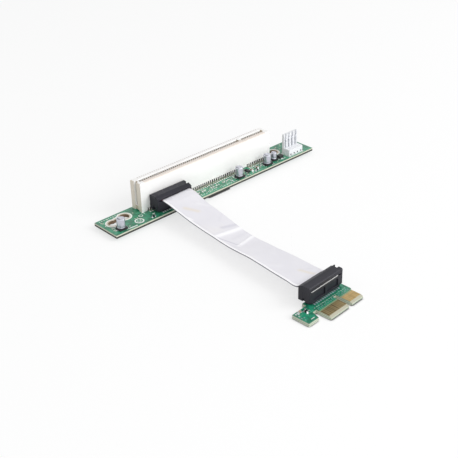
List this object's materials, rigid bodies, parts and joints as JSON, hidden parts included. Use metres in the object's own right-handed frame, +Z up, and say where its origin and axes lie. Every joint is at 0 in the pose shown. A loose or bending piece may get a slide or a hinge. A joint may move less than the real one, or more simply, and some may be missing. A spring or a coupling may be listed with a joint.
{
  "type": "riser card",
  "caption": "Riser card with a long upright card slot, joined by a flat foil-wrapped ribbon cable to a small edge card with gold fingers.",
  "frame": {"origin": "middle of the footprint, on the surface that the card lies on", "axes": "+X along the riser board and its slot, +Y from the edge card to the riser board, +Z up out of the slot"},
  "size_m": [0.1302, 0.125, 0.0179],
  "materials": {
    "solder_mask": "green solder mask over glass-fibre board, satin, with white print",
    "ivory_plastic": "moulded ivory slot housing, fine satin",
    "tin_contact": "tin-plated contact strip",
    "black_plastic": "moulded black connector plastic, fine grain",
    "pin_metal": "tinned square pin",
    "cable_pvc": "grey ribbon cable insulation",
    "foil": "silver-grey shielding foil, creased",
    "gold": "hard gold plating on the edge contacts",
    "white_plastic": "white moulded power header",
    "can_aluminium": "bright aluminium can",
    "chip_plastic": "moulded chip package",
    "ceramic_brown": "brown ceramic chip capacitor",
    "resistor_black": "black resistor film",
    "solder": "bright solder"
  },
  "bodies": {
    "root": {"bridge_chip": "chip_plastic", "bridge_chip_leads": "solder", "capacitor_1_base": "chip_plastic", "capacitor_1_can": "can_aluminium", "capacitor_1_terminals": "solder", "capacitor_2_base": "chip_plastic", "capacitor_2_can": "can_aluminium", "capacitor_2_terminals": "solder", "capacitor_3_base": "chip_plastic", "capacitor_3_can": "can_aluminium", "capacitor_3_terminals": "solder", "capacitor_4_base": "chip_plastic", "capacitor_4_can": "can_aluminium", "capacitor_4_terminals": "solder", "diode_body": "chip_plastic", "diode_leads": "solder", "edge_card": "solder_mask", "edge_chip_capacitor_bodies": "ceramic_brown", "edge_chip_capacitor_ends": "solder", "edge_chip_resistor_bodies": "resistor_black", "edge_chip_resistor_ends": "solder", "edge_header_base": "black_plastic", "edge_header_pins": "pin_metal", "edge_plug_body": "black_plastic", "edge_plug_contacts": "pin_metal", "edge_plug_cover": "black_plastic", "finger_pads_bottom": "gold", "finger_pads_top": "gold", "flat_cable": "cable_pvc", "foil_wrap": "foil", "power_header": "white_plastic", "power_header_pins": "pin_metal", "regulator_body": "chip_plastic", "regulator_leads": "solder", "riser_board": "solder_mask", "riser_chip_capacitor_bodies": "ceramic_brown", "riser_chip_capacitor_ends": "solder", "riser_chip_resistor_bodies": "resistor_black", "riser_chip_resistor_ends": "solder", "riser_header_base": "black_plastic", "riser_header_pins": "pin_metal", "riser_plug_body": "black_plastic", "riser_plug_contacts": "pin_metal", "riser_plug_cover": "black_plastic", "slot_contacts_front": "tin_contact", "slot_contacts_rear": "tin_contact", "slot_housing": "ivory_plastic"}
  },
  "joints": []
}
